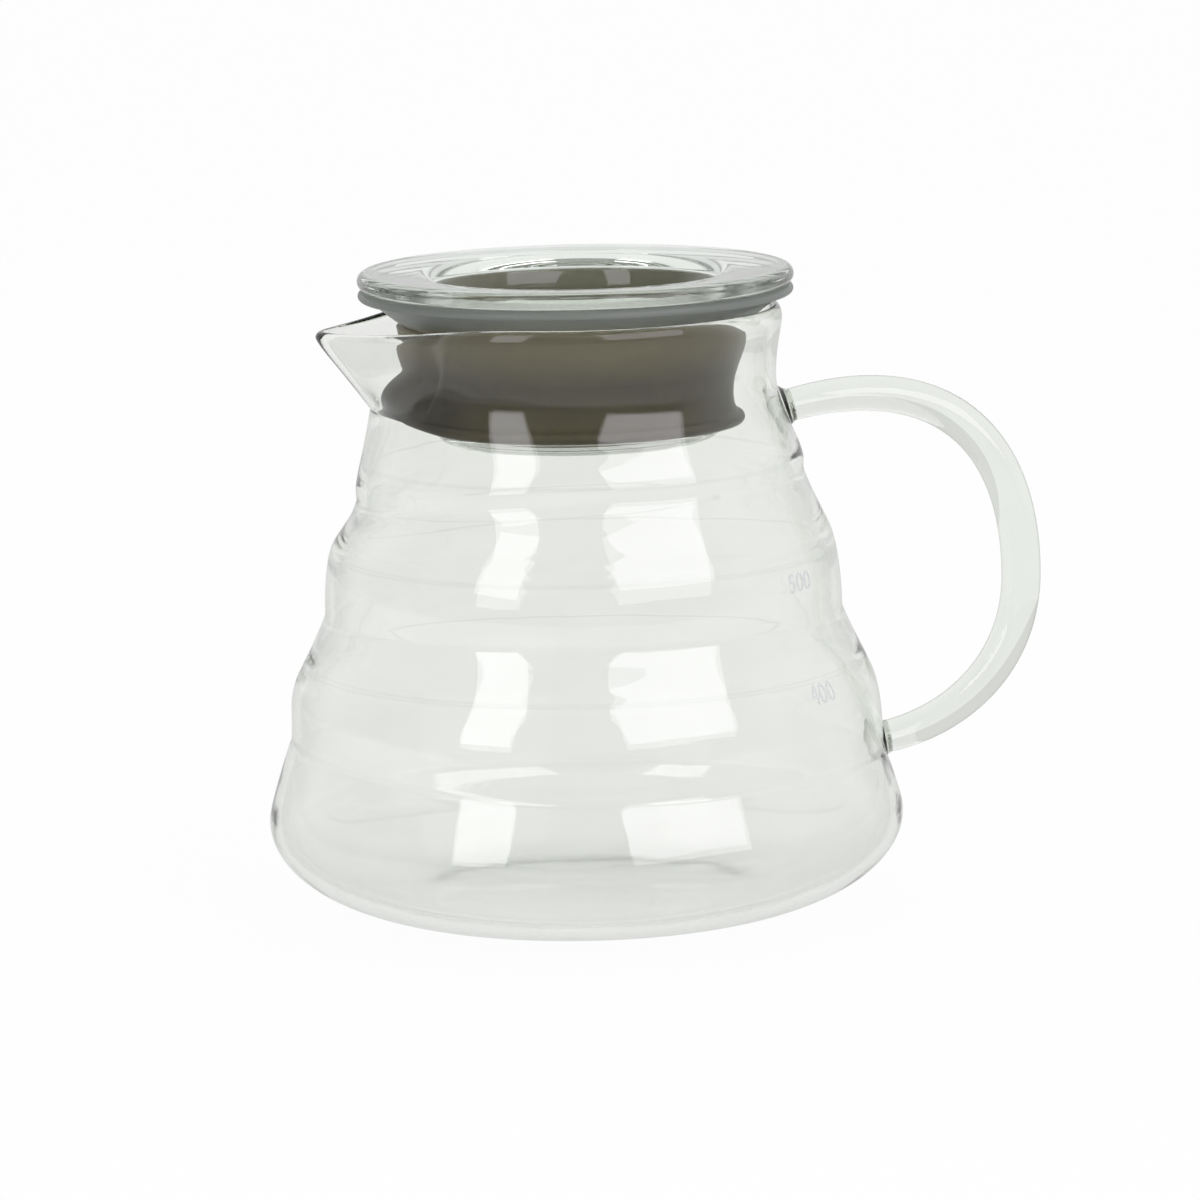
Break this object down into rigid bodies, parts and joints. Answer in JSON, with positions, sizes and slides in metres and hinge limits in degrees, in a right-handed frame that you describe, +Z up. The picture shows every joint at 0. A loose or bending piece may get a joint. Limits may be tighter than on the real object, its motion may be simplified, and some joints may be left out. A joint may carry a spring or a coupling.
{
  "type": "glass coffee server",
  "caption": "Clear glass coffee server with a stepped wall, pulled spout, bent glass rod handle and a glass stopper lid in a grey silicone sealing ring.",
  "frame": {"origin": "centre of the flat foot that the pot stands on, on the axis of the pot and lid", "axes": "+Z up along the pot's axis, +X towards the handle, -X towards the spout"},
  "size_m": [0.1457, 0.118, 0.119],
  "materials": {
    "glass": "clear blown borosilicate, fire-polished",
    "lid_glass": "clear pressed glass, fire-polished",
    "silicone": "moulded grey silicone, satin"
  },
  "bodies": {
    "pot": {"pot_body": "glass", "handle": "glass"},
    "seal": {"lid_seal": "silicone"},
    "lid": {"lid_glass": "lid_glass"}
  },
  "joints": [
    {"name": "lid_lift", "type": "slide", "parent": "pot", "child": "seal", "axis": [0, 0, 1], "range_m": [0, 0.06]},
    {"name": "lid_from_seal", "type": "slide", "parent": "seal", "child": "lid", "axis": [0, 0, 1], "range_m": [0, 0.04]}
  ]
}
